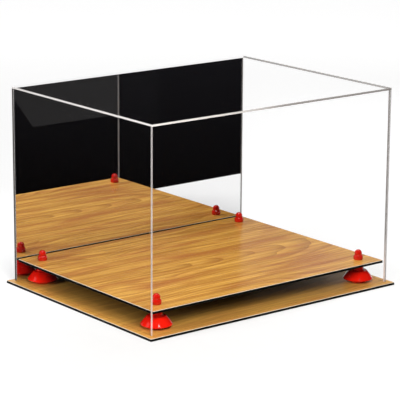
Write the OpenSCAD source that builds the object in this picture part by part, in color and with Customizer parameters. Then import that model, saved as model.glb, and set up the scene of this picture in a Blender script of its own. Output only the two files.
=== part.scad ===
// Collectible display case: a lift-off clear cover with a mirrored back, standing on a
// wood-grain base board, over a second board that four turned risers hold up.
// Millimetres. +Z is up, X runs along the long side, and the front faces -Y.
// The origin is on the underside of the base board, below the middle of the case.

/* [Cover] */
// Outside width of the cover
cover_w = 457.2; // [320:0.1:700]
// Outside depth of the cover
cover_d = 355.6; // [240:0.1:600]
// Clear height inside, from the base board to the underside of the top
clear_h = 304.8; // [120:0.1:500]
// Thickness of the clear and the mirrored sheet
sheet_t = 3.2; // [2:0.1:8]
// Width of the flat eased on each outer edge of the cover
arris = 0.4; // [0.1:0.1:0.8]
// Thickness of the cement film between two sheets
cement_t = 0.05; // [0.01:0.01:0.2]

/* [Boards] */
// Thickness of the black core of both boards
core_t = 3.3; // [1.8:0.1:8]
// Thickness of the wood-grain face layer of both boards
face_t = 0.8; // [0.6:0.1:3]
// Width of the bevel cut round each face layer
face_bevel = 0.5; // [0.1:0.05:0.55]
// How far the base board stands out past the cover
base_margin = 9; // [2:0.5:40]
// Gap between the raised board's edge and the cover's walls
board_gap = 1.2; // [0.5:0.1:4]

/* [Risers] */
// Height of a riser, from the base board to the raised board
riser_h = 31; // [26:0.5:80]
// Distance from the raised board's edges to a riser's axis
riser_inset = 27; // [25:0.5:50]
// Radius of the foot that a riser stands on
riser_foot_r = 12.5; // [10:0.5:18]
// Height of the foot, below the overhang of the skirt
riser_foot_h = 0.8; // [0.4:0.1:2]
// Radius of the riser's skirt at its widest
riser_rim_r = 23.3; // [20.5:0.1:24]
// Height of the widest ring of the skirt
riser_rim_z = 5.8; // [4:0.1:8]
// How far the side of the skirt bows out of a straight line
riser_skirt_bow = 0.4; // [0:0.1:2]
// Radius at the top of the skirt
riser_shoulder_r = 14.1; // [13:0.1:17]
// Height of the ledge on top of the skirt
riser_ledge_z = 18.4; // [13:0.1:21]
// Radius of the rounding at the rim and at the top of the skirt
riser_round_r = 1; // [0.4:0.1:1.2]
// Radius of the neck
riser_neck_r = 8.9; // [6:0.1:9]
// Radius of the cove between the skirt and the neck
riser_cove_r = 2.6; // [1:0.1:3]

/* [Finials] */
// Height of a finial above the raised board
finial_h = 16; // [15:0.5:30]
// Radius of the finial's foot
finial_foot_r = 6.6; // [5.5:0.1:7.2]
// Radius of the finial's lower swell
finial_swell_r = 7.4; // [7:0.1:12]
// Height of the lower swell at its widest
finial_swell_z = 3.6; // [1:0.1:4]
// How far the top of the swell bows out of a straight line
finial_swell_bow = 0.7; // [0:0.1:1.2]
// Radius of the ball on top
finial_ball_r = 5.8; // [5:0.1:6.5]
// Distance from the middle of the ball down to the waist
finial_waist_drop = 2.3; // [1:0.1:3]

/* [Screws] */
// Thread diameter of a screw
screw_d = 4; // [3:0.5:5]
// Length of screw inside a finial
screw_grip = 11; // [6:0.5:11.5]
// Space left past the tip of a screw
tip_gap = 0.8; // [0.3:0.1:1]
// Diameter of the countersunk head
head_d = 7.5; // [6.5:0.1:8]
// Height of the flat rim of the head
head_rim_t = 0.2; // [0.1:0.05:0.3]
// Depth of the head below the underside of the base board
head_sink = 0.2; // [0.1:0.05:0.3]
// Radial gap of a screw in the boards and the risers
hole_gap = 0.25; // [0.1:0.05:0.5]
// Radial running gap of a screw in its finial
thread_gap = 0.05; // [0.02:0.01:0.1]
// Length across the cross in the screw head
cross_l = 4.2; // [3:0.1:5]
// Width of each arm of the cross
cross_w = 0.9; // [0.5:0.1:1.2]
// Depth of the cross
cross_depth = 1.5; // [0.8:0.1:1.8]

/* [Hidden] */
$fn = 96;

// Signs of X and Y at each corner of the case
FRONT_LEFT = [-1, -1];
FRONT_RIGHT = [1, -1];
BACK_LEFT = [-1, 1];
BACK_RIGHT = [1, 1];
CORNERS = [FRONT_LEFT, FRONT_RIGHT, BACK_LEFT, BACK_RIGHT];

// Points along each curved stretch of a turned profile
ARC_STEPS = 8;
// Angle at which the rounded rim of a riser turns in to its underside
RIM_UNDERCUT = -65;
// Share of a screw's radius that the chamfer at its tip takes off
TIP_SHARE = 0.25;
// Overrun of a cutter past the face that it opens
CUT = 1;

// Heights of the stack, from the table up
board_t = core_t + face_t;
riser_z = board_t;
platform_z = riser_z + riser_h;
finial_z = platform_z + board_t;
cover_h = clear_h + sheet_t;

// Footprints
base_size = [cover_w, cover_d] + 2 * [base_margin, base_margin];
inner_size = [cover_w, cover_d] - 2 * [sheet_t, sheet_t];
platform_size = inner_size - 2 * [board_gap, board_gap];
riser_at = platform_size / 2 - [riser_inset, riser_inset];

// Finial: the ball ends at the top, and the waist lies on the ball
ball_z = finial_h - finial_ball_r;
waist_z = ball_z - finial_waist_drop;
waist_r = sqrt(pow(finial_ball_r, 2) - pow(finial_waist_drop, 2));

// Screw
screw_r = screw_d / 2;
head_r = head_d / 2;
head_cone_h = head_r - screw_r;
screw_l = finial_z + screw_grip - head_sink;
tip_chamfer = screw_r * TIP_SHARE;

// ---------------------------------------------------------------- profiles

// Points of a stretch from p to q that bows out to its right by bow, without p itself
function bowed(p, q, bow) =
    let (along = q - p, right = [along.y, -along.x] / norm(along))
    [for (i = [1:ARC_STEPS]) let (t = i / ARC_STEPS)
        p + along * t + right * 4 * bow * t * (1 - t)];

// Point of a circle about c
function on_circle(c, r, angle) = c + r * [cos(angle), sin(angle)];

// Points of a circular arc about c, from angle a to angle b
function arc(c, r, a, b) =
    [for (i = [0:ARC_STEPS]) let (t = a + (b - a) * i / ARC_STEPS)
        on_circle(c, r, t)];

// Quarter of an ellipse from the foot out and up to the widest ring
function lip(foot_r, rim_r, rim_z) =
    [for (i = [0:ARC_STEPS]) let (t = 90 * i / ARC_STEPS)
        [foot_r + (rim_r - foot_r) * sin(t), rim_z * (1 - cos(t))]];

// Turned outline of a riser: foot, undercut, rounded rim, skirt, shoulder, cove and neck.
// Rim and shoulder have one radius, so the skirt is tangent to both of them.
function riser_outline() =
    let (
        rim_c = [riser_rim_r - riser_round_r, riser_rim_z],
        shoulder_c = [riser_shoulder_r - riser_round_r, riser_ledge_z - riser_round_r],
        skirt_turn = atan2(rim_c.x - shoulder_c.x, shoulder_c.y - rim_c.y),
        skirt = bowed(
            on_circle(rim_c, riser_round_r, skirt_turn),
            on_circle(shoulder_c, riser_round_r, skirt_turn),
            riser_skirt_bow
        ),
        cove_c = [riser_neck_r + riser_cove_r, riser_ledge_z + riser_cove_r]
    )
    concat(
        [[0, 0], [riser_foot_r, 0], [riser_foot_r, riser_foot_h]],
        arc(rim_c, riser_round_r, RIM_UNDERCUT, skirt_turn),
        [for (i = [0:ARC_STEPS - 2]) skirt[i]],
        arc(shoulder_c, riser_round_r, skirt_turn, 90),
        arc(cove_c, riser_cove_r, 270, 180),
        [[riser_neck_r, riser_h], [0, riser_h]]
    );

// Turned outline of a finial: lip, swell, waist and ball
function finial_outline() =
    let (swell = [finial_swell_r, finial_swell_z])
    concat(
        [[0, 0]],
        lip(finial_foot_r, finial_swell_r, finial_swell_z),
        bowed(swell, [waist_r, waist_z], finial_swell_bow),
        arc([0, ball_z], finial_ball_r, asin(-finial_waist_drop / finial_ball_r), 90)
    );

// Outline of a countersunk screw standing on its head, with a chamfered tip
function screw_outline() = [
    [0, 0], [head_r, 0], [head_r, head_rim_t], [screw_r, head_rim_t + head_cone_h],
    [screw_r, screw_l - tip_chamfer], [screw_r - tip_chamfer, screw_l], [0, screw_l]
];

// ---------------------------------------------------------------- shared shapes

module at_corner(corner) {
    translate([corner.x * riser_at.x, corner.y * riser_at.y, 0]) children();
}

// Rectangle centred on its width and standing on its lower side, with each corner cut at
// 45 degrees
module eased_rectangle(w, h, cut) {
    polygon([
        [-w / 2 + cut, 0], [w / 2 - cut, 0], [w / 2, cut], [w / 2, h - cut],
        [w / 2 - cut, h], [-w / 2 + cut, h], [-w / 2, h - cut], [-w / 2, cut]
    ]);
}

// The whole cover as one block with every outer edge eased
module cover_envelope() {
    intersection() {
        translate([0, cover_d / 2, 0]) rotate([90, 0, 0])
            linear_extrude(cover_d) eased_rectangle(cover_w, cover_h, arris);
        translate([-cover_w / 2, 0, 0]) rotate([90, 0, 90])
            linear_extrude(cover_w) eased_rectangle(cover_d, cover_h, arris);
        translate([0, -cover_d / 2, 0])
            linear_extrude(cover_h) eased_rectangle(cover_w, cover_d, arris);
    }
}

// One sheet of the cover, cut from low to high and flush with the eased envelope
module sheet(low, high) {
    translate([0, 0, board_t]) intersection() {
        cover_envelope();
        translate(low) cube(high - low);
    }
}

// Trapezium whose top corners are bevelled
module bevelled_section(w) {
    polygon([
        [-w / 2, 0], [w / 2, 0], [w / 2, face_t - face_bevel],
        [w / 2 - face_bevel, face_t], [-w / 2 + face_bevel, face_t],
        [-w / 2, face_t - face_bevel]
    ]);
}

// Space that a screw needs in the boards and risers below its finial
module screw_cut() {
    cut_r = head_r + hole_gap;
    translate([0, 0, -CUT]) cylinder(h = CUT + head_sink + head_rim_t, r = cut_r);
    translate([0, 0, head_sink + head_rim_t])
        cylinder(h = head_cone_h, r1 = cut_r, r2 = screw_r + hole_gap);
    translate([0, 0, -CUT]) cylinder(h = finial_z + 2 * CUT, r = screw_r + hole_gap);
}

// Black core of a board whose underside is at z
module core_sheet(size, z) {
    difference() {
        translate([-size.x / 2, -size.y / 2, z]) cube([size.x, size.y, core_t]);
        for (corner = CORNERS) at_corner(corner) screw_cut();
    }
}

// Wood-grain face of a board whose underside is at z, with a mitred bevel all round
module face_sheet(size, z) {
    difference() {
        translate([0, 0, z + core_t]) intersection() {
            translate([0, size.y / 2, 0]) rotate([90, 0, 0])
                linear_extrude(size.y) bevelled_section(size.x);
            translate([-size.x / 2, 0, 0]) rotate([90, 0, 90])
                linear_extrude(size.x) bevelled_section(size.y);
        }
        for (corner = CORNERS) at_corner(corner) screw_cut();
    }
}

// ---------------------------------------------------------------- cover

module cover_top() {
    color("lightcyan", 0.4)
        sheet([-cover_w / 2, -cover_d / 2, clear_h], [cover_w / 2, cover_d / 2, cover_h]);
}

// The front sheet covers the ends of both side sheets
module cover_front() {
    color("lightcyan", 0.4)
        sheet(
            [-cover_w / 2, -cover_d / 2, 0],
            [cover_w / 2, -inner_size.y / 2, clear_h - cement_t]
        );
}

module side_sheet(low_x) {
    color("lightcyan", 0.4)
        sheet(
            [low_x, -inner_size.y / 2 + cement_t, 0],
            [low_x + sheet_t, cover_d / 2, clear_h - cement_t]
        );
}

module cover_left() { side_sheet(-cover_w / 2); }

module cover_right() { side_sheet(inner_size.x / 2); }

// The mirrored sheet closes the back, between the side sheets
module mirror_panel() {
    half_w = inner_size.x / 2 - cement_t;
    color("dimgray")
        sheet([-half_w, inner_size.y / 2, 0], [half_w, cover_d / 2, clear_h - cement_t]);
}

// ---------------------------------------------------------------- boards

module base_core() { color("black") core_sheet(base_size, 0); }

module base_face() { color("peru") face_sheet(base_size, 0); }

module platform_core() { color("black") core_sheet(platform_size, platform_z); }

module platform_face() { color("peru") face_sheet(platform_size, platform_z); }

// ---------------------------------------------------------------- turned pieces

module riser() {
    color("red") difference() {
        translate([0, 0, riser_z]) rotate_extrude() polygon(riser_outline());
        screw_cut();
    }
}

module finial() {
    color("red") translate([0, 0, finial_z]) difference() {
        rotate_extrude() polygon(finial_outline());
        translate([0, 0, -CUT])
            cylinder(h = CUT + screw_grip + tip_gap, r = screw_r + thread_gap);
    }
}

module screw() {
    color("silver") translate([0, 0, head_sink]) difference() {
        rotate_extrude() polygon(screw_outline());
        for (turn = [0, 90]) rotate(turn)
            translate([-cross_l / 2, -cross_w / 2, -CUT])
                cube([cross_l, cross_w, CUT + cross_depth]);
    }
}

// ---------------------------------------------------------------- assembly

cover_top();
cover_front();
cover_left();
cover_right();
mirror_panel();
base_core();
base_face();
platform_core();
platform_face();
at_corner(FRONT_LEFT) riser();  // riser_front_left
at_corner(FRONT_RIGHT) riser();  // riser_front_right
at_corner(BACK_LEFT) riser();  // riser_back_left
at_corner(BACK_RIGHT) riser();  // riser_back_right
at_corner(FRONT_LEFT) screw();  // screw_front_left
at_corner(FRONT_RIGHT) screw();  // screw_front_right
at_corner(BACK_LEFT) screw();  // screw_back_left
at_corner(BACK_RIGHT) screw();  // screw_back_right
at_corner(FRONT_LEFT) finial();  // finial_front_left
at_corner(FRONT_RIGHT) finial();  // finial_front_right
at_corner(BACK_LEFT) finial();  // finial_back_left
at_corner(BACK_RIGHT) finial();  // finial_back_right
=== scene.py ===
# %% [markdown]
# # A collectible display case
# A clear cover with a mirrored back stands on a wood-grain base board. Inside, four
# glossy red risers carry a second board, and a red finial over each riser screws down
# onto it. The construction comes ready-made as the frame, in metres. This script gives
# every piece its finish, adds what a drawing leaves out, and lights the result.

# %% Load the construction
import math

import bmesh
import bpy
from mathutils import Matrix, Vector


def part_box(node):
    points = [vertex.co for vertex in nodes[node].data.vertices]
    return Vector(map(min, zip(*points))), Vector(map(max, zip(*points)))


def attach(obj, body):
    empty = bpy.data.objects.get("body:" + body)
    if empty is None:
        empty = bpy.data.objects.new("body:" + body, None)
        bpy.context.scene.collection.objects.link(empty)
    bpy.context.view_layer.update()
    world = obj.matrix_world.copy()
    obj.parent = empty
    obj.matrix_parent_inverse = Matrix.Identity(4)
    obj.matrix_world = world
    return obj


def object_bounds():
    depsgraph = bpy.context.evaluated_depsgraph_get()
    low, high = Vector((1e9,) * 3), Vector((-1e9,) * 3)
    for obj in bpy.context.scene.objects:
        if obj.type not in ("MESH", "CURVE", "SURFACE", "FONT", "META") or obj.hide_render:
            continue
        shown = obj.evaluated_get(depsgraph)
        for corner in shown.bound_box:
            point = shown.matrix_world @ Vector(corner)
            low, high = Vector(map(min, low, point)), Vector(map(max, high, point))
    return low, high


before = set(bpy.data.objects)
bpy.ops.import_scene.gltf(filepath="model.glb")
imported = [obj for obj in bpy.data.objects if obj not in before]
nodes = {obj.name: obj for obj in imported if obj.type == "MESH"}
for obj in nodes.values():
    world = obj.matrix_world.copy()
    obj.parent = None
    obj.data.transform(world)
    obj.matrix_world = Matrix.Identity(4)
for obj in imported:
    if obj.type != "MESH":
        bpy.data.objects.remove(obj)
case_low, case_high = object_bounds()
MM = 0.001
print("case box, mm:", [round(v / MM, 1) for v in (*case_low, *case_high)])

# %% [markdown]
# ## The camera
# A case like this is looked at from a little above and well to one side, through a long
# lens that keeps its upright edges nearly parallel. A camera could be aimed with a
# Track To constraint. Here its three axes are worked out from an azimuth, an elevation
# and a small roll, so the numbers stay readable and the aim is exact.

# %% Camera
CAMERA_AZIMUTH = math.radians(-38.4335)
CAMERA_ELEVATION = math.radians(13.9803)
CAMERA_ROLL = math.radians(0.3573)
CAMERA_PLACE = Vector((-1.85617, -2.33636, 0.87764))
CAMERA_LENS = 179.1884


def camera_axes(azimuth, elevation, roll):
    """Right, up and back directions of a camera at that azimuth and elevation."""
    level = math.cos(elevation)
    back = Vector((math.sin(azimuth) * level, -math.cos(azimuth) * level, math.sin(elevation)))
    right = (-back).cross(Vector((0, 0, 1))).normalized()
    up = right.cross(-back)
    c, s = math.cos(roll), math.sin(roll)
    return c * right + s * up, c * up - s * right, back


camera = bpy.data.objects.new("camera", bpy.data.cameras.new("camera"))
bpy.context.scene.collection.objects.link(camera)
camera.data.sensor_width = 36
camera.data.lens = CAMERA_LENS
right, up, back = camera_axes(CAMERA_AZIMUTH, CAMERA_ELEVATION, CAMERA_ROLL)
camera.matrix_world = Matrix.Translation(CAMERA_PLACE) @ Matrix((right, up, back)).transposed().to_4x4()
bpy.context.scene.camera = camera
print("camera looks along", tuple(round(v, 3) for v in -back))

# %% [markdown]
# ## Helpers for building a finish
# A finish is a small tree of nodes. A tree can be drawn by hand in the shader editor.
# Written as code it can be read, changed and built again, so these few helpers add a
# node, set or link its inputs, and hand back the socket that the next node needs.


# %% Node helpers
def put(socket, value):
    """Sets an input to a plain value, or links it if the value is another socket."""
    if isinstance(value, bpy.types.NodeSocket):
        socket.id_data.links.new(value, socket)
    else:
        socket.default_value = value


def add(tree, kind, inputs=None, **settings):
    """A new node with its settings made and its inputs set or linked."""
    node = tree.nodes.new(kind)
    for name, value in settings.items():
        setattr(node, name, value)
    for name, value in (inputs or {}).items():
        put(node.inputs[name], value)
    return node


def calc(tree, operation, a, b=0.0):
    """The result of one Math node."""
    return add(tree, "ShaderNodeMath", {0: a, 1: b}, operation=operation).outputs[0]


def blend_colour(tree, share, first, second):
    """The first colour where share is 0, the second where it is 1."""
    pair = {6: first, 7: second}
    pair = {i: v if isinstance(v, bpy.types.NodeSocket) else (*v, 1.0) for i, v in pair.items()}
    return add(tree, "ShaderNodeMix", {0: share, **pair}, data_type="RGBA").outputs[2]


def blend_value(tree, share, first, second):
    """The first value where share is 0, the second where it is 1."""
    return add(tree, "ShaderNodeMix", {0: share, 2: first, 3: second}, data_type="FLOAT").outputs[0]


def finish_tree(name):
    """A new material: (material, its tree, its Principled shader)."""
    material = bpy.data.materials.new(name)
    material.use_nodes = True
    tree = material.node_tree
    return material, tree, next(n for n in tree.nodes if n.type == "BSDF_PRINCIPLED")


def effect_group(name, inputs, outputs):
    """A shared effect: (group, the node its inputs come from, the node its results go to)."""
    group = bpy.data.node_groups.new(name, "ShaderNodeTree")
    for label, kind, value in inputs:
        group.interface.new_socket(label, in_out="INPUT", socket_type=kind).default_value = value
    for label, kind in outputs:
        group.interface.new_socket(label, in_out="OUTPUT", socket_type=kind)
    return group, group.nodes.new("NodeGroupInput"), group.nodes.new("NodeGroupOutput")


def dress(names, material):
    """Gives the listed construction nodes a finish."""
    for name in names:
        nodes[name].material_slots[0].material = material
    print(material.name, "on", ", ".join(names))


print("node helpers ready")

# %% [markdown]
# ## Helpers for patterns
# Every surface here is a pattern of position and direction. The same few nodes come up
# again and again: a noise, a step from one value to another, the relief that a pattern
# gives to light, and sums with vectors. Written once, they keep each finish short.


# %% Pattern helpers
def step_share(tree, value, start, end):
    """0 before the start, 1 after the end, and even in between."""
    span = {"Value": value, "From Min": start, "From Max": end}
    return add(tree, "ShaderNodeMapRange", span).outputs["Result"]


def vector_calc(tree, operation, a, b, result="Vector"):
    """The result of one Vector Math node that takes two vectors."""
    return add(tree, "ShaderNodeVectorMath", {0: a, 1: b}, operation=operation).outputs[result]


def noise(tree, place, scale, detail, roughness=0.5):
    """Smooth noise at a place: larger scale is finer, more detail is busier."""
    shape = {"Vector": place, "Scale": scale, "Detail": detail, "Roughness": roughness}
    return add(tree, "ShaderNodeTexNoise", shape).outputs["Fac"]


def relief(tree, height, strength, distance):
    """A surface direction that is tilted by a height, which rises by the distance in metres."""
    shape = {"Height": height, "Strength": strength, "Distance": distance}
    return add(tree, "ShaderNodeBump", shape).outputs["Normal"]


def split(tree, vector):
    """The X, Y and Z of a vector."""
    return add(tree, "ShaderNodeSeparateXYZ", {0: vector}).outputs


print("pattern helpers ready")

# %% [markdown]
# ## Edge of a clear sheet
# Clear acrylic is almost unseen across its broad faces, but a sawn and flame-polished
# edge gathers light from the whole sheet and glows. Real refraction would show this,
# yet it also blocks lamp light from the space inside. The cover is therefore made of
# thin, nearly empty faces, and this group finds the edges: they are where the surface
# turns away from the sheet's own face direction. The cosine of that turn is 1 on a
# face, 0 on an edge, and in between on the eased corner, the arris.

# %% Group: sheet edge
EDGE_BELOW, ARRIS_ABOVE = 0.9, 0.2
sheet_edge, given, result = effect_group(
    "sheet_edge",
    [("Face Direction", "NodeSocketVector", (0.0, 0.0, 1.0)), ("Streak Scale", "NodeSocketFloat", 60.0)],
    [("Edge", "NodeSocketFloat"), ("Arris", "NodeSocketFloat"), ("Streak", "NodeSocketFloat")],
)
surface = add(sheet_edge, "ShaderNodeTexCoord")
face_direction = given.outputs["Face Direction"]
facing = vector_calc(sheet_edge, "DOT_PRODUCT", surface.outputs["Normal"], face_direction, "Value")
turned = calc(sheet_edge, "ABSOLUTE", facing)
off_face = calc(sheet_edge, "LESS_THAN", turned, EDGE_BELOW)
off_edge = calc(sheet_edge, "GREATER_THAN", turned, ARRIS_ABOVE)
put(result.inputs["Edge"], off_face)
put(result.inputs["Arris"], calc(sheet_edge, "MULTIPLY", off_face, off_edge))
streak_scale = given.outputs["Streak Scale"]
put(result.inputs["Streak"], noise(sheet_edge, surface.outputs["Object"], streak_scale, detail=3.0))
print("sheet_edge gives", [s.name for s in result.inputs if s.name])

# %% [markdown]
# ## Clear acrylic
# Each sheet is 1/8 inch clear acrylic. An edge can only be told from a face by
# direction, so the finish is made once for each way a sheet can lie. The masks drive
# Alpha, Base Color and Roughness of one Principled shader. An edge's colour is painted
# light. Edges at the left are near the lamps: they are painted with a glow and half let
# the view through. Further right they are painted dim and nearly solid, and near the
# boards they take up a painted warm glow from the wood. Cemented ends let the view
# through, because cement fills the gap, and the ends that stand on the base only veil
# it. A far edge that is seen from inside its sheet is painted as a thin dark line,
# because the sheet bends the view away from it. Backfacing finds it, and also turns the
# surface direction back to the outside, since Cycles turns it to the viewer.

# %% Colours and strengths of clear acrylic
FACE_TINT = (0.12, 0.12, 0.12)
FACE_ALPHA, FACE_ROUGHNESS = 0.003, 0.03
EDGE_SMOOTH, EDGE_DRAGGED = 0.18, 0.34
ACRYLIC_IOR = 1.49
# Painted light: the edge colour is a painted glow at the left that fades to painted dim at the right.
BRIGHT_END, DIM_END = -0.10, 0.02
EDGE_GLOW_TOP, EDGE_GLOW_SIDE = (0.66, 0.63, 0.61), (0.56, 0.53, 0.52)
EDGE_PAINTED_DIM = (0.27, 0.25, 0.24)
# Painted warm glow: the wood's light painted into the edges near the boards.
EDGE_PAINTED_WOOD_GLOW = (0.88, 0.72, 0.65)
FOOT_GLOW_TOP, FOOT_GLOW_LOW = 0.085, 0.015
# Painted dark line on far edges, darker at the left, in place of the view that the sheet bends away.
EDGE_FAR_SHADE_LEFT, EDGE_FAR_SHADE_RIGHT = (0.060, 0.055, 0.052), (0.25, 0.24, 0.235)
EDGE_ALPHA, GLOW_ALPHA = 0.94, 0.50
ARRIS_GLOW_ALPHA, ARRIS_FAR_ALPHA = 0.15, 0.85
JOINT_ALPHA, STANDING_ALPHA = 0.06, 0.30
SAME_WAY = 0.6
BACK, UP, DOWN = (0.0, 1.0, 0.0), (0.0, 0.0, 1.0), (0.0, 0.0, -1.0)
LEFT, RIGHT = (-1.0, 0.0, 0.0), (1.0, 0.0, 0.0)
print("edges dim from x, mm:", BRIGHT_END / MM, "to", DIM_END / MM)

# %% [markdown]
# ## One finish for each way a sheet lies
# The colour is mixed first, from the near edge's painted glow and the far edge's painted
# dark line, and then the alpha, in the same order. The unseen ends come last, so that
# they win. Four materials could share one group with more sockets, but Backfacing has
# to stay in the material, so a function builds each tree.


# %% Finish: clear acrylic
def edge_colour(tree, place, far, painted_edge_glow):
    """What an edge shows: its painted glow on the near side, its painted dark line on the far side."""
    dim = step_share(tree, place["X"], BRIGHT_END, DIM_END)
    near_colour = blend_colour(tree, dim, painted_edge_glow, EDGE_PAINTED_DIM)
    foot = step_share(tree, place["Z"], FOOT_GLOW_TOP, FOOT_GLOW_LOW)
    near_colour = blend_colour(tree, foot, near_colour, EDGE_PAINTED_WOOD_GLOW)
    far_colour = blend_colour(tree, dim, EDGE_FAR_SHADE_LEFT, EDGE_FAR_SHADE_RIGHT)
    return blend_colour(tree, far, near_colour, far_colour)


def edge_alpha(tree, place, far, arris, glow_alpha, far_edge_alpha):
    """How solid an edge looks, with its eased arris apart from its flat."""
    dim = step_share(tree, place["X"], BRIGHT_END, DIM_END)
    near_flat = blend_value(tree, dim, glow_alpha, EDGE_ALPHA)
    near_arris = blend_value(tree, dim, ARRIS_GLOW_ALPHA, EDGE_ALPHA)
    near_alpha = blend_value(tree, arris, near_flat, near_arris)
    far_alpha = blend_value(tree, arris, far_edge_alpha, ARRIS_FAR_ALPHA)
    return blend_value(tree, far, near_alpha, far_alpha)


def clear_acrylic(name, face_direction, unseen_ends, painted_edge_glow, glow_alpha, far_edge_alpha):
    """Clear sheet finish, from the way its faces look and the ways its unseen ends look."""
    material, tree, shader = finish_tree(name)
    edge = add(tree, "ShaderNodeGroup", {"Face Direction": face_direction}, node_tree=sheet_edge)
    is_edge = edge.outputs["Edge"]
    far = add(tree, "ShaderNodeNewGeometry").outputs["Backfacing"]
    surface = add(tree, "ShaderNodeTexCoord")
    place = split(tree, surface.outputs["Object"])
    colour = edge_colour(tree, place, far, painted_edge_glow)
    put(shader.inputs["Base Color"], blend_colour(tree, is_edge, FACE_TINT, colour))

    alpha = edge_alpha(tree, place, far, edge.outputs["Arris"], glow_alpha, far_edge_alpha)
    to_outside = calc(tree, "SUBTRACT", 1.0, calc(tree, "MULTIPLY", far, 2.0))
    turning = {0: surface.outputs["Normal"], "Scale": to_outside}
    outward = add(tree, "ShaderNodeVectorMath", turning, operation="SCALE").outputs["Vector"]
    for direction in unseen_ends:
        agreement = vector_calc(tree, "DOT_PRODUCT", outward, direction, "Value")
        end_alpha = STANDING_ALPHA if direction == DOWN else JOINT_ALPHA
        alpha = blend_value(tree, calc(tree, "GREATER_THAN", agreement, SAME_WAY), alpha, end_alpha)
    put(shader.inputs["Alpha"], blend_value(tree, is_edge, FACE_ALPHA, alpha))

    polish = blend_value(tree, edge.outputs["Streak"], EDGE_SMOOTH, EDGE_DRAGGED)
    put(shader.inputs["Roughness"], blend_value(tree, is_edge, FACE_ROUGHNESS, polish))
    shader.inputs["IOR"].default_value = ACRYLIC_IOR
    return material


top_finish = clear_acrylic(
    "clear_acrylic_top", UP, [BACK], EDGE_GLOW_TOP, glow_alpha=EDGE_ALPHA, far_edge_alpha=0.78
)
front_finish = clear_acrylic(
    "clear_acrylic_front", BACK, [UP, DOWN], EDGE_GLOW_SIDE, glow_alpha=GLOW_ALPHA, far_edge_alpha=0.75
)
back_finish = clear_acrylic(
    "clear_acrylic_back",
    BACK,
    [UP, DOWN, LEFT, RIGHT],
    EDGE_GLOW_SIDE,
    glow_alpha=GLOW_ALPHA,
    far_edge_alpha=0.75,
)
side_finish = clear_acrylic(
    "clear_acrylic_side", RIGHT, [UP, DOWN], EDGE_GLOW_SIDE, glow_alpha=GLOW_ALPHA, far_edge_alpha=0.96
)
dress(["cover_top"], top_finish)
dress(["cover_front"], front_finish)
dress(["mirror_panel"], back_finish)
dress(["cover_left", "cover_right"], side_finish)

# %% [markdown]
# ## The mirror's silvering
# A mirrored sheet is clear acrylic with a metal film on its back, sealed under grey
# paint. Painting the sheet's front as a mirror would put the reflection in the wrong
# place. So the film is a thin plate of its own inside the sheet, with the paint behind
# it. The finish here doesn't bend the view as acrylic does, which makes a 3.2 mm sheet
# look 2.15 mm thick, so the film stands 1.05 mm in from the back of the sheet.

# %% Mirror film and backing paint
FILM_DEPTH = 1.05 * MM
FILM_T = 0.1 * MM
PAINT_T = 0.3 * MM
PAINT_COVER = 0.05 * MM
COATING_SETBACK = 0.2 * MM
CORNER_R = 0.6 * MM
CORNER_STEPS = 6


def coating_plate(name, low, high):
    """A thin upright plate between two corners, with rounded corners in X and Z."""
    outline = []
    middle_x, middle_z = (low.x + high.x) / 2, (low.z + high.z) / 2
    for start in (0, 90, 180, 270):
        for step in range(CORNER_STEPS + 1):
            turn = math.radians(start + 90 * step / CORNER_STEPS)
            diagonal = math.radians(start + 45)
            side_x = math.copysign((high.x - low.x) / 2 - CORNER_R, math.cos(diagonal))
            side_z = math.copysign((high.z - low.z) / 2 - CORNER_R, math.sin(diagonal))
            x = middle_x + side_x + CORNER_R * math.cos(turn)
            z = middle_z + side_z + CORNER_R * math.sin(turn)
            outline.append((x, z))
    bm = bmesh.new()
    front = [bm.verts.new((x, low.y, z)) for x, z in outline]
    rear = [bm.verts.new((x, high.y, z)) for x, z in outline]
    bm.faces.new(front)
    bm.faces.new(list(reversed(rear)))
    for i in range(len(outline)):
        j = (i + 1) % len(outline)
        bm.faces.new((front[i], rear[i], rear[j], front[j]))
    bmesh.ops.recalc_face_normals(bm, faces=bm.faces)
    mesh = bpy.data.meshes.new(name)
    bm.to_mesh(mesh)
    bm.free()
    plate = bpy.data.objects.new(name, mesh)
    bpy.context.scene.collection.objects.link(plate)
    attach(plate, "cover")
    return plate


panel_low, panel_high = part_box("mirror_panel")
setback = Vector((COATING_SETBACK, 0, COATING_SETBACK))
low, high = panel_low + setback, panel_high - setback
film_low = Vector((low.x, panel_high.y - FILM_DEPTH, low.z))
film_high = Vector((high.x, film_low.y + FILM_T, high.z))
paint_high = Vector((high.x, panel_high.y - PAINT_COVER, high.z))
paint_low = Vector((low.x, paint_high.y - PAINT_T, low.z))
mirror_film = coating_plate("mirror_film", film_low, film_high)
mirror_paint = coating_plate("mirror_paint", paint_low, paint_high)
print("film, mm:", [round(v / MM, 1) for v in mirror_film.dimensions])
print("paint, mm:", [round(v / MM, 1) for v in mirror_paint.dimensions])

# %% [markdown]
# ## Silver and backing paint
# The silver is a metal with almost no roughness. A perfect metal would look drawn, so
# its colour is a little less than white, as it is through 3 mm of acrylic, and a very
# shallow ripple lets reflections swim the way they do in a plastic mirror. The back is
# grey paint that was sprayed on, with a fine pebbled skin. Seen from the front, at the
# sheet's rim, it lies in the dark against the silver, so a mask darkens that side.

# %% Finish: silver and backing paint
SILVER_LOW, SILVER_HIGH = (0.91, 0.91, 0.92), (0.94, 0.94, 0.94)
BACKING_DARK, BACKING_LIGHT = (0.15, 0.16, 0.17), (0.21, 0.22, 0.23)
# Painted shade: the side of the paint that faces the front is painted near black.
BACKING_PAINTED_SHADE = (0.012, 0.012, 0.012)
BACKING_SMOOTH, BACKING_ROUGH = 0.45, 0.65
LOOKS_BACK = 0.5

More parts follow.
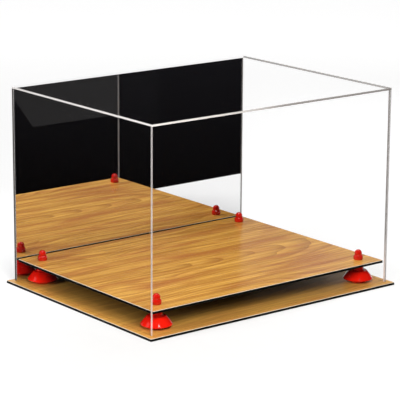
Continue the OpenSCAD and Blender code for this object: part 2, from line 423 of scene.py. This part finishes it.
silver, tree, shader = finish_tree("acrylic_mirror_silver")
place = add(tree, "ShaderNodeTexCoord").outputs["Object"]
ripple = noise(tree, place, scale=5.0, detail=1.0)
put(shader.inputs["Base Color"], blend_colour(tree, ripple, SILVER_LOW, SILVER_HIGH))
shader.inputs["Metallic"].default_value = 1.0
shader.inputs["Roughness"].default_value = 0.0
put(shader.inputs["Normal"], relief(tree, ripple, strength=0.05, distance=0.5 * MM))

backing, tree, shader = finish_tree("acrylic_mirror_backing")
surface = add(tree, "ShaderNodeTexCoord")
place = surface.outputs["Object"]
pebble = noise(tree, place, scale=900.0, detail=4.0)
drift = noise(tree, place, scale=9.0, detail=3.0)
sprayed = blend_colour(tree, drift, BACKING_DARK, BACKING_LIGHT)
outside = calc(tree, "GREATER_THAN", split(tree, surface.outputs["Normal"])["Y"], LOOKS_BACK)
put(shader.inputs["Base Color"], blend_colour(tree, outside, BACKING_PAINTED_SHADE, sprayed))
put(shader.inputs["Roughness"], blend_value(tree, pebble, BACKING_SMOOTH, BACKING_ROUGH))
put(shader.inputs["Normal"], relief(tree, pebble, strength=0.3, distance=0.1 * MM))
mirror_film.data.materials.append(silver)
mirror_paint.data.materials.append(backing)
print("mirror finished in", silver.name, "and", backing.name)

# %% [markdown]
# ## Wood figure
# The boards are faced with a printed oak grain. A wood print can be drawn from plain
# stretched noise, but that has no growth rings. Here the board is cut, in thought, from
# a log whose heart lies a little below it and is tilted to it, so the rings come out
# as long lines that close into pointed arches. A slow noise makes the heart wander.
# The same group serves both boards, each from its own place in the log.

# %% Group: wood figure, the growth rings
GRAIN_SQUEEZE = (0.22, 1.0, 1.0)
HEART_WANDER = 0.11
RING_SCALE = 40.0
WAVE_RADIANS = 20.0

wood_figure, given, result = effect_group(
    "wood_figure",
    [
        ("Place In Log", "NodeSocketVector", (0.0, 0.0, 0.0)),
        ("Tilt", "NodeSocketFloat", 0.10),
        ("Ring Scale", "NodeSocketFloat", RING_SCALE),
    ],
    [
        ("Ring", "NodeSocketFloat"),
        ("Drift", "NodeSocketFloat"),
        ("Blush", "NodeSocketFloat"),
        ("Pore", "NodeSocketFloat"),
    ],
)
place = add(wood_figure, "ShaderNodeTexCoord").outputs["Object"]
moved = vector_calc(wood_figure, "ADD", place, given.outputs["Place In Log"])
along = split(wood_figure, moved)
heart = calc(wood_figure, "MULTIPLY", along["X"], given.outputs["Tilt"])
depth = calc(wood_figure, "ADD", along["Z"], heart)
squeezed = vector_calc(wood_figure, "MULTIPLY", moved, GRAIN_SQUEEZE)
wander = noise(wood_figure, squeezed, scale=11.0, detail=2.0)
sway = calc(wood_figure, "MULTIPLY", calc(wood_figure, "SUBTRACT", wander, 0.5), HEART_WANDER)
across = calc(wood_figure, "ADD", along["Y"], sway)
log_place = add(wood_figure, "ShaderNodeCombineXYZ", {"X": 0.0, "Y": across, "Z": depth}).outputs["Vector"]
rings = add(
    wood_figure,
    "ShaderNodeTexWave",
    {"Vector": log_place, "Scale": given.outputs["Ring Scale"], "Distortion": 1.2, "Detail": 2.0},
    wave_type="RINGS",
    rings_direction="X",
    wave_profile="SAW",
)
put(result.inputs["Ring"], rings.outputs["Fac"])
# A wave texture of scale 1 goes through 20 radians in each metre.
ring_width = 2 * math.pi / (WAVE_RADIANS * RING_SCALE)
print("one ring every", round(ring_width / MM, 1), "mm")

# %% [markdown]
# ## Fibres, blush and pores
# Between the rings oak has long pale and dark fibres, broad patches of redder wood, and
# short dark pores. All three are noise, stretched along the board: the fibres and pores
# very much, the patches less. They join the rings as more results of the same group.

# %% Group: wood figure, its fibres and pores
FIBRE_SQUEEZE = (0.035, 1.0, 1.0)
PORE_FROM, PORE_TO = 0.56, 0.72

long_fibres = vector_calc(wood_figure, "MULTIPLY", moved, FIBRE_SQUEEZE)
fibres = noise(wood_figure, long_fibres, scale=85.0, detail=6.0, roughness=0.68)
patches = noise(wood_figure, squeezed, scale=34.0, detail=5.0)
fine = noise(wood_figure, long_fibres, scale=900.0, detail=2.0)
put(result.inputs["Drift"], fibres)
put(result.inputs["Blush"], patches)
put(result.inputs["Pore"], step_share(wood_figure, fine, PORE_FROM, PORE_TO))
print("wood_figure gives", [s.name for s in result.inputs if s.name])

# %% [markdown]
# ## Wood-grain face
# The face is a thin laminate: a honey-brown oak print, sealed to a satin sheen, over a
# pale beige body. The bevel cut round each board goes through the print, so the pale
# body shows there as a fine line, and the glue line under it is as dark as the core.
# Masks from the surface's own direction find both, and need no extra geometry. The base
# board's print is painted paler, as painted light for the board that lies deeper in the
# shade, and its satin is hazier than the raised board's.

# %% Finish: wood-grain face
OAK_LIGHT = (0.80, 0.430, 0.090)
OAK_MID = (0.47, 0.215, 0.038)
OAK_RED = (0.44, 0.150, 0.039)
OAK_DARK = (0.27, 0.095, 0.014)
OAK_PORE = (0.12, 0.045, 0.010)
LAMINATE_BODY = (0.66, 0.58, 0.47)
LAMINATE_FOOT = (0.012, 0.010, 0.008)
DRIFT_FROM, DRIFT_TO = 0.38, 0.63
BLUSH_FROM, BLUSH_TO, BLUSH_SHARE = 0.46, 0.68, 0.80
RING_SHARPNESS, RING_SHARE = 2.4, 0.60
PORE_SHARE = 0.42
BEVEL_BELOW, FOOT_BELOW = 0.93, 0.3
SATIN_SPREAD = 0.07
PORE_ROUGHNESS, BEVEL_ROUGHNESS = 0.34, 0.55


def oak_print(tree, figure, painted_lift):
    """The printed grain: ground, redder patches, rings and pores, then the painted lift, a painted light,
    over all.
    """
    ground = blend_colour(tree, step_share(tree, figure["Drift"], DRIFT_FROM, DRIFT_TO), OAK_LIGHT, OAK_MID)
    blush = step_share(tree, figure["Blush"], BLUSH_FROM, BLUSH_TO)
    ground = blend_colour(tree, calc(tree, "MULTIPLY", blush, BLUSH_SHARE), ground, OAK_RED)
    ring = calc(tree, "POWER", figure["Ring"], RING_SHARPNESS)
    ringed = blend_colour(tree, calc(tree, "MULTIPLY", ring, RING_SHARE), ground, OAK_DARK)
    printed = blend_colour(tree, calc(tree, "MULTIPLY", figure["Pore"], PORE_SHARE), ringed, OAK_PORE)
    return blend_colour(tree, painted_lift, printed, OAK_LIGHT)


def wood_face(name, place_in_log, tilt, painted_lift, gloss, haze):
    """Oak laminate from its own place in the log.

    Painted lift makes the print paler as painted light, gloss is the strength of its sheen, haze its
    roughness.
    """
    material, tree, shader = finish_tree(name)
    cut = {"Place In Log": place_in_log, "Tilt": tilt}
    figure = add(tree, "ShaderNodeGroup", cut, node_tree=wood_figure).outputs
    slope = calc(tree, "ABSOLUTE", split(tree, add(tree, "ShaderNodeTexCoord").outputs["Normal"])["Z"])
    bevel = calc(tree, "LESS_THAN", slope, BEVEL_BELOW)
    foot = calc(tree, "LESS_THAN", slope, FOOT_BELOW)
    cut_colour = blend_colour(tree, foot, LAMINATE_BODY, LAMINATE_FOOT)
    put(shader.inputs["Base Color"], blend_colour(tree, bevel, oak_print(tree, figure, painted_lift), cut_colour))
    satin = blend_value(tree, figure["Drift"], haze, haze + SATIN_SPREAD)
    satin = blend_value(tree, figure["Pore"], satin, PORE_ROUGHNESS)
    put(shader.inputs["Roughness"], blend_value(tree, bevel, satin, BEVEL_ROUGHNESS))
    pore_depth = calc(tree, "MULTIPLY", figure["Pore"], -1.0)
    put(shader.inputs["Normal"], relief(tree, pore_depth, strength=0.25, distance=0.06 * MM))
    shader.inputs["Specular IOR Level"].default_value = gloss
    return material


# The base board's lift is painted light that makes its print paler.
base_wood = wood_face(
    "wood_grain_base", (0.31, 0.045, 0.052), tilt=0.085, painted_lift=0.32, gloss=0.45, haze=0.32
)
platform_wood = wood_face(
    "wood_grain_platform", (-0.06, 0.02, -0.012), tilt=0.13, painted_lift=0.0, gloss=0.27, haze=0.15
)
dress(["base_face"], base_wood)
dress(["platform_face"], platform_wood)

# %% [markdown]
# ## Black core
# Under the print each board is a black engraving sheet, and its sawn edge is what draws
# the dark outline round the boards. Plain black would look like a hole, so the edge has
# upright saw marks and the flat underside a fine pebbled grain.

# %% Finish: black core
CORE_BLACK, CORE_WORN = (0.002, 0.002, 0.002), (0.006, 0.006, 0.005)
CORE_SMOOTH, CORE_ROUGH = 0.5, 0.7
CORE_GLOSS = 0.06
SAW_STROKE = (1.0, 1.0, 0.02)
SAWN_BELOW = 0.5

black_core, tree, shader = finish_tree("black_core_sheet")
surface = add(tree, "ShaderNodeTexCoord")
upward = split(tree, surface.outputs["Normal"])["Z"]
sawn = calc(tree, "LESS_THAN", calc(tree, "ABSOLUTE", upward), SAWN_BELOW)
tall = vector_calc(tree, "MULTIPLY", surface.outputs["Object"], SAW_STROKE)
saw_marks = noise(tree, tall, scale=1400.0, detail=2.0)
grain = noise(tree, surface.outputs["Object"], scale=1100.0, detail=3.0)
height = blend_value(tree, sawn, grain, saw_marks)
put(shader.inputs["Base Color"], blend_colour(tree, height, CORE_BLACK, CORE_WORN))
put(shader.inputs["Roughness"], blend_value(tree, height, CORE_SMOOTH, CORE_ROUGH))
put(shader.inputs["Normal"], relief(tree, height, strength=0.4, distance=0.08 * MM))
shader.inputs["Specular IOR Level"].default_value = CORE_GLOSS
dress(["base_core", "platform_core"], black_core)

# %% [markdown]
# ## Moulded skin
# Risers and finials come glossy from the mould. Moulded plastic is never quite flat: it
# has a slight orange-peel ripple, a tone that drifts a little, and fine scuffs from
# handling. One group makes all three, and each piece sets its own scale.

# %% Group: moulded skin
SCUFF_FROM, SCUFF_TO = 0.6, 0.75

moulded_skin, given, result = effect_group(
    "moulded_skin",
    [("Ripple Scale", "NodeSocketFloat", 180.0), ("Drift Scale", "NodeSocketFloat", 30.0)],
    [("Ripple", "NodeSocketFloat"), ("Drift", "NodeSocketFloat"), ("Scuff", "NodeSocketFloat")],
)
place = add(moulded_skin, "ShaderNodeTexCoord").outputs["Object"]
handled = noise(moulded_skin, place, scale=420.0, detail=6.0)
put(result.inputs["Ripple"], noise(moulded_skin, place, given.outputs["Ripple Scale"], detail=1.5))
put(result.inputs["Drift"], noise(moulded_skin, place, given.outputs["Drift Scale"], detail=2.0))
put(result.inputs["Scuff"], step_share(moulded_skin, handled, SCUFF_FROM, SCUFF_TO))
print("moulded_skin gives", [s.name for s in result.inputs if s.name])

# %% [markdown]
# ## Red plastic
# The red is a strong, slightly orange scarlet with a wet-looking gloss. A coat over a
# rougher base would add a second highlight, but one smooth surface is what a mould
# leaves, so the gloss comes from low roughness alone. The finials are painted a deeper
# red than the risers, as painted shade, and their skin is finer because they are smaller.

# %% Finish: red plastic
RED_LIGHT, RED_DEEP = (0.85, 0.014, 0.004), (0.72, 0.006, 0.003)
# Painted shade: the finials' reds are painted deeper than the risers' reds.
FINIAL_PAINTED_SHADE_LIGHT, FINIAL_PAINTED_SHADE_DEEP = (0.56, 0.011, 0.004), (0.40, 0.005, 0.003)
WET_ROUGHNESS, SCUFF_ROUGHNESS = 0.06, 0.22
PLASTIC_IOR = 1.53


def red_plastic(name, ripple_scale, drift_scale, light_red, deep_red):
    """Glossy moulded red that drifts between two reds, with its skin at the piece's scale."""
    material, tree, shader = finish_tree(name)
    scales = {"Ripple Scale": ripple_scale, "Drift Scale": drift_scale}
    skin = add(tree, "ShaderNodeGroup", scales, node_tree=moulded_skin).outputs
    put(shader.inputs["Base Color"], blend_colour(tree, skin["Drift"], light_red, deep_red))
    put(shader.inputs["Roughness"], blend_value(tree, skin["Scuff"], WET_ROUGHNESS, SCUFF_ROUGHNESS))
    put(shader.inputs["Normal"], relief(tree, skin["Ripple"], strength=0.07, distance=0.3 * MM))
    shader.inputs["IOR"].default_value = PLASTIC_IOR
    return material


CORNERS = ["front_left", "front_right", "back_left", "back_right"]
RISER_RIPPLE, RISER_DRIFT = 160.0, 26.0
FINIAL_RIPPLE, FINIAL_DRIFT = 320.0, 70.0
riser_red = red_plastic("red_plastic_riser", RISER_RIPPLE, RISER_DRIFT, RED_LIGHT, RED_DEEP)
finial_red_painted_shade = red_plastic("red_plastic_finial", FINIAL_RIPPLE, FINIAL_DRIFT, FINIAL_PAINTED_SHADE_LIGHT, FINIAL_PAINTED_SHADE_DEEP)
dress([f"riser_{c}" for c in CORNERS], riser_red)
dress([f"finial_{c}" for c in CORNERS], finial_red_painted_shade)

# %% [markdown]
# ## Screw steel
# One machine screw runs up through each riser, its countersunk head flush under the
# base. The steel is bright zinc. The fine rings that turning leaves could be bumped in,
# but on a head this small it is enough to let them vary the roughness.

# %% Finish: screw steel
ZINC_GREY, ZINC_PALE = (0.56, 0.57, 0.58), (0.68, 0.68, 0.66)
ZINC_SMOOTH, ZINC_ROUGH = 0.22, 0.42

screw_steel, tree, shader = finish_tree("screw_steel_zinc")
place = add(tree, "ShaderNodeTexCoord").outputs["Object"]
plating = noise(tree, place, scale=700.0, detail=5.0)
put(shader.inputs["Base Color"], blend_colour(tree, plating, ZINC_GREY, ZINC_PALE))
put(shader.inputs["Roughness"], blend_value(tree, plating, ZINC_SMOOTH, ZINC_ROUGH))
shader.inputs["Metallic"].default_value = 1.0
dress([f"screw_{c}" for c in CORNERS], screw_steel)

# %% [markdown]
# ## Stage pieces
# Floor, cloths and screens are flat sheets that belong to the studio and not to the
# case. A Plane object could be scaled and turned for each, but a sheet that is built
# from its spans in X, Y and Z is easier to read. Floor and sky also have to know whether
# they are looked at or only light the case.


# %% Stage helpers
def seen_directly(tree):
    """1 for the rays that look at a background: camera, glossy and transmission."""
    path = add(tree, "ShaderNodeLightPath").outputs
    seen = calc(tree, "MAXIMUM", path["Is Camera Ray"], path["Is Glossy Ray"])
    return calc(tree, "MAXIMUM", seen, path["Is Transmission Ray"])


def level_corners(x_span, y_span, height):
    """Corners of a sheet that lies level."""
    (x0, x1), (y0, y1) = x_span, y_span
    return [(x0, y0, height), (x1, y0, height), (x1, y1, height), (x0, y1, height)]


def facing_corners(x_span, y, z_span):
    """Corners of an upright sheet that faces the front or the back of the case."""
    (x0, x1), (z0, z1) = x_span, z_span
    return [(x0, y, z0), (x1, y, z0), (x1, y, z1), (x0, y, z1)]


def side_corners(x, y_span, z_span):
    """Corners of an upright sheet that faces a side of the case."""
    (y0, y1), (z0, z1) = y_span, z_span
    return [(x, y0, z0), (x, y1, z0), (x, y1, z1), (x, y0, z1)]


def stage_sheet(name, corners, material):
    """A flat piece of studio dressing between its corners."""
    mesh = bpy.data.meshes.new(name)
    mesh.from_pydata(corners, [], [tuple(range(len(corners)))])
    mesh.materials.append(material)
    sheet = bpy.data.objects.new(name, mesh)
    bpy.context.scene.collection.objects.link(sheet)
    return sheet


print("stage helpers ready")

# %% [markdown]
# ## Floor and backdrop
# The case stands on a pale floor in front of white. A bright lamp on a white floor
# would also bleach the case, so the floor gets a little light of its own that only the
# viewer, a gloss or a glass can see. It grows away from the brightest place, where the
# lamps give less, and it makes up for the lamplight that the case itself keeps from the
# floor behind it. What the lamps give still carries the shadow.

# %% Floor
FLOOR_HALF = 6.0
FLOOR_TONE, FLOOR_MOTTLE = 0.55, 0.01
FLOOR_ROUGHNESS = 0.9
BRIGHTEST_PLACE = (-0.40, -0.45, 0.0)
OWN_LIGHT_NEAR, OWN_LIGHT_MIDDLE, OWN_LIGHT_FAR = 0.03, 0.38, 0.88
MIDDLE_FROM, MIDDLE_TO, FAR_TO = 0.15, 0.6, 2.9
SHADED_PLACE = (-0.08, 0.38, 0.0)
OWN_LIGHT_SHADED = 0.14
SHADED_FROM, SHADED_TO = 0.4, 0.1

floor_finish, tree, shader = finish_tree("floor_finish")
place = add(tree, "ShaderNodeTexCoord").outputs["Object"]
mottle = noise(tree, place, scale=40.0, detail=4.0)
floor_low, floor_high = (FLOOR_TONE - FLOOR_MOTTLE,) * 3, (FLOOR_TONE + FLOOR_MOTTLE,) * 3
put(shader.inputs["Base Color"], blend_colour(tree, mottle, floor_low, floor_high))
shader.inputs["Roughness"].default_value = FLOOR_ROUGHNESS
shader.inputs["Emission Color"].default_value = (1.0, 1.0, 1.0, 1.0)
distance = vector_calc(tree, "DISTANCE", place, BRIGHTEST_PLACE, "Value")
middle_share = step_share(tree, distance, MIDDLE_FROM, MIDDLE_TO)
own_light = blend_value(tree, middle_share, OWN_LIGHT_NEAR, OWN_LIGHT_MIDDLE)
own_light = blend_value(tree, step_share(tree, distance, MIDDLE_TO, FAR_TO), own_light, OWN_LIGHT_FAR)
distance = vector_calc(tree, "DISTANCE", place, SHADED_PLACE, "Value")
shaded_share = step_share(tree, distance, SHADED_FROM, SHADED_TO)
own_light = calc(tree, "ADD", own_light, calc(tree, "MULTIPLY", shaded_share, OWN_LIGHT_SHADED))
put(shader.inputs["Emission Strength"], calc(tree, "MULTIPLY", seen_directly(tree), own_light))
floor_span = (-FLOOR_HALF, FLOOR_HALF)
floor = stage_sheet("studio_floor", level_corners(floor_span, floor_span, 0), floor_finish)
print("floor, m:", [round(v, 1) for v in floor.dimensions])

# %% [markdown]
# ## What the mirror looks at
# The mirror faces the dark side of the studio, so the upper part of it reads as black.
# Black cloth lies on the floor in front of the case and at its left, and black curtain
# hangs in front, at both sides and overhead. One part of the front curtain glows with a
# painted light of its own. The raised board near the mirror, and its mirror image, catch
# it as a soft sheen. A real cloth would also darken the floor and the light, so only
# glossy reflections can see these sheets.

# %% Tones of the dark side
CLOTH_NEAR, CLOTH_FAR = (0.0011, 0.0008, 0.0010), (0.0058, 0.0054, 0.0068)
# Painted light: the glow of the lit part of the front curtain.
CURTAIN_PAINTED_LIGHT = (0.14, 0.12, 0.10)
BOARD_TONE = (0.0205, 0.0197, 0.0200)
LIGHTER_FROM, LIGHTER_TO = 0.4, 1.8
NAP_LOW, NAP_HIGH = 0.7, 1.3


def dark_sheet(name, corners, tone, far_tone=None):
    """A matt sheet that only gloss sees. Away from the case it takes on its far tone, if any."""
    material, tree, shader = finish_tree(name + "_finish")
    place = add(tree, "ShaderNodeTexCoord").outputs["Object"]
    distance = add(tree, "ShaderNodeVectorMath", {0: place}, operation="LENGTH").outputs["Value"]
    nap = blend_value(tree, noise(tree, place, scale=3.0, detail=4.0), NAP_LOW, NAP_HIGH)
    share = calc(tree, "MULTIPLY", step_share(tree, distance, LIGHTER_FROM, LIGHTER_TO), nap)
    shader.inputs["Base Color"].default_value = (0.0, 0.0, 0.0, 1.0)
    shader.inputs["Roughness"].default_value = 1.0
    shader.inputs["Specular IOR Level"].default_value = 0.0
    put(shader.inputs["Emission Color"], blend_colour(tree, share, tone, far_tone or tone))
    shader.inputs["Emission Strength"].default_value = 1.0
    sheet = stage_sheet(name, corners, material)
    sheet.visible_camera = False
    sheet.visible_diffuse = False
    sheet.visible_shadow = False
    sheet.visible_transmission = False


print("cloth tones", CLOTH_NEAR, "to", CLOTH_FAR)

# %% [markdown]
# ## Cloths, curtains and the grey board
# The cloths lie just above the floor and stop just short of the case. The curtains
# reach from the floor up to the ceiling sheet. Only the right one hangs clear of the
# floor, so that low reflections on that side still find white. One grey board lies on
# the cloth, and the mirror shows it as a shape a little lighter than the black.

# %% Cloths, curtains and board
ROOM_LEFT, ROOM_RIGHT, ROOM_FRONT, ROOM_TOP = -3.0, 5.0, -3.6, 3.0
CEILING_BACK = 2.5
CLOTH_LIFT, CLOTH_GAP = 0.5 * MM, 2 * MM
LEFT_CLOTH_BACK, LEFT_WALL_BACK = 0.22, 0.6
RIGHT_WALL, RIGHT_WALL_BACK, RIGHT_WALL_FOOT = 3.0, 2.3, 0.45
LIT_X, LIT_Z = (1.5, 4.3), (0.5, 2.1)
LIT_GAP = 0.05
BOARD_LIFT = 1.0 * MM
BOARD_PLAN = [(0.447, -0.787), (0.574, -1.049), (0.72, -1.46), (1.14, -1.43), (0.672, -0.787)]

room_x, room_z = (ROOM_LEFT, ROOM_RIGHT), (0, ROOM_TOP)
cloth_end, cloth_aside = case_low.y - CLOTH_GAP, case_low.x - CLOTH_GAP
front_cloth = level_corners(room_x, (ROOM_FRONT, cloth_end), CLOTH_LIFT)
left_cloth = level_corners((ROOM_LEFT, cloth_aside), (cloth_end, LEFT_CLOTH_BACK), CLOTH_LIFT)
ceiling = level_corners(room_x, (ROOM_FRONT, CEILING_BACK), ROOM_TOP)
left_wall = side_corners(ROOM_LEFT, (ROOM_FRONT, LEFT_WALL_BACK), room_z)
right_wall = side_corners(RIGHT_WALL, (ROOM_FRONT, RIGHT_WALL_BACK), (RIGHT_WALL_FOOT, ROOM_TOP))
dark_sheet("dark_cloth", front_cloth, CLOTH_NEAR, CLOTH_FAR)
dark_sheet("dark_cloth_left", left_cloth, CLOTH_NEAR, CLOTH_FAR)
dark_sheet("dark_curtain", facing_corners(room_x, ROOM_FRONT, room_z), CLOTH_FAR)
dark_sheet("dark_ceiling", ceiling, CLOTH_FAR)
dark_sheet("lit_curtain", facing_corners(LIT_X, ROOM_FRONT + LIT_GAP, LIT_Z), CURTAIN_PAINTED_LIGHT)
dark_sheet("dark_side_wall", left_wall, CLOTH_FAR)
dark_sheet("dark_right_wall", right_wall, CLOTH_FAR)
dark_sheet("grey_board", [(x, y, BOARD_LIFT) for x, y in BOARD_PLAN], BOARD_TONE)
print("cloth ends at, mm:", round(cloth_aside / MM, 1), round(cloth_end / MM, 1))

# %% [markdown]
# ## Screens behind the case
# Glossy wood and reds mirror what stands behind the case as well, and pure white there
# would wash out the grain and lay a haze on the left riser's slope. So a dark screen
# stands behind at the left, and paler ones at the right: pale low down, grey above it,
# and light beside the grey. They could be one sheet with a pattern, but separate sheets
# are easier to shift. They are behind the mirror, so it never shows them.

# %% Screens
SCREEN_PALE, SCREEN_LIGHT = (0.40, 0.39, 0.38), (0.48, 0.48, 0.48)
SCREEN_GREY = (0.13, 0.125, 0.12)
LEFT_SCREEN_X, LEFT_SCREEN_Y, LEFT_SCREEN_Z = (-3.3, 0.05), 2.5, (0.45, 3.6)
RIGHT_SCREEN_Y, RIGHT_SCREEN_SEAM = 0.9, 0.39
PALE_X, PALE_Z = (0.78, 1.9), (0.05, RIGHT_SCREEN_SEAM)
GREY_X, LIGHT_X, UPPER_Z = (0.6, 1.0), (1.0, 1.9), (RIGHT_SCREEN_SEAM, 0.9)

left_screen = facing_corners(LEFT_SCREEN_X, LEFT_SCREEN_Y, LEFT_SCREEN_Z)
dark_sheet("dark_screen_left", left_screen, CLOTH_FAR)
dark_sheet("pale_screen_right", facing_corners(PALE_X, RIGHT_SCREEN_Y, PALE_Z), SCREEN_PALE)
dark_sheet("grey_screen_right", facing_corners(GREY_X, RIGHT_SCREEN_Y, UPPER_Z), SCREEN_GREY)
dark_sheet("light_screen_right", facing_corners(LIGHT_X, RIGHT_SCREEN_Y, UPPER_Z), SCREEN_LIGHT)
print("screens stand at y, m:", LEFT_SCREEN_Y, "and", RIGHT_SCREEN_Y)

# %% [markdown]
# ## Lamps
# Soft light keeps the reds rich and the wood warm. A large box overhead makes the deep,
# soft shadow between the boards. A key box stands high at the front left and lights
# boards and risers. A small low box, nearer to the case, fills in the shade that the
# key leaves. A small high box, which only gloss sees, puts a bright point on the
# risers. Two tall strips at the sides shape the slopes. Key, fill and strips would lie
# on the reds and in the mirror as a haze, so gloss doesn't see them. A picture of a real
# studio could light the case as well, but each box can be moved and dimmed by itself.


# %% Lamps
MIDDLE = (0.0, 0.0, 0.08)
PLAIN_WHITE = (1.0, 1.0, 1.0)
WARM_WHITE = (1.0, 0.98, 0.95)
COOL_WHITE = (0.96, 0.97, 1.0)


def soft_box(name, place, width, height, power, colour):
    """A rectangular soft light at a place, turned to the middle of the case."""
    light = bpy.data.lights.new(name, "AREA")
    light.shape = "RECTANGLE"
    light.size, light.size_y = width, height
    light.energy = power
    light.color = colour
    lamp = bpy.data.objects.new(name, light)
    bpy.context.scene.collection.objects.link(lamp)
    lamp.location = place
    lamp.rotation_euler = (Vector(MIDDLE) - Vector(place)).to_track_quat("-Z", "Y").to_euler()
    lamp.visible_camera = False
    return lamp


soft_box("overhead_box", (0.0, 0.1, 1.7), width=1.3, height=1.3, power=19, colour=PLAIN_WHITE)
fill_box = soft_box(
    "fill_box", (-0.54, -0.72, 0.46), width=0.28, height=0.28, power=5.2, colour=WARM_WHITE
)
key_box = soft_box("key_box", (-0.56, -1.72, 1.87), width=0.80, height=0.80, power=26, colour=WARM_WHITE)
high_box = soft_box(
    "high_box", (-0.62, -1.94, 2.02), width=0.26, height=0.26, power=7.0, colour=WARM_WHITE
)
left_strip = soft_box("left_strip", (-1.5, 0.2, 0.5), width=0.25, height=0.9, power=10.5, colour=COOL_WHITE)
right_strip = soft_box("right_strip", (1.5, 0.35, 0.45), width=0.2, height=0.9, power=5, colour=COOL_WHITE)
for lamp in (fill_box, key_box, left_strip, right_strip):
    lamp.visible_glossy = False
high_box.visible_diffuse = False

# %% [markdown]
# ## Surroundings
# Daylight from every side fills what the boxes leave dark. A dome of light could be
# built from a picture, but an even fill is enough here, and it is pure white only for
# what looks straight at it, so it makes the background and lights softly.

# %% Surroundings
FILL = 0.06
world = bpy.data.worlds.new("studio")
bpy.context.scene.world = world
world.use_nodes = True
tree = world.node_tree
sky = next(n for n in tree.nodes if n.type == "BACKGROUND")
sky.inputs["Color"].default_value = (1.0, 1.0, 1.0, 1.0)
put(sky.inputs["Strength"], blend_value(tree, seen_directly(tree), FILL, 1.0))
bpy.context.scene.view_settings.view_transform = "Standard"
print("fill light", FILL)
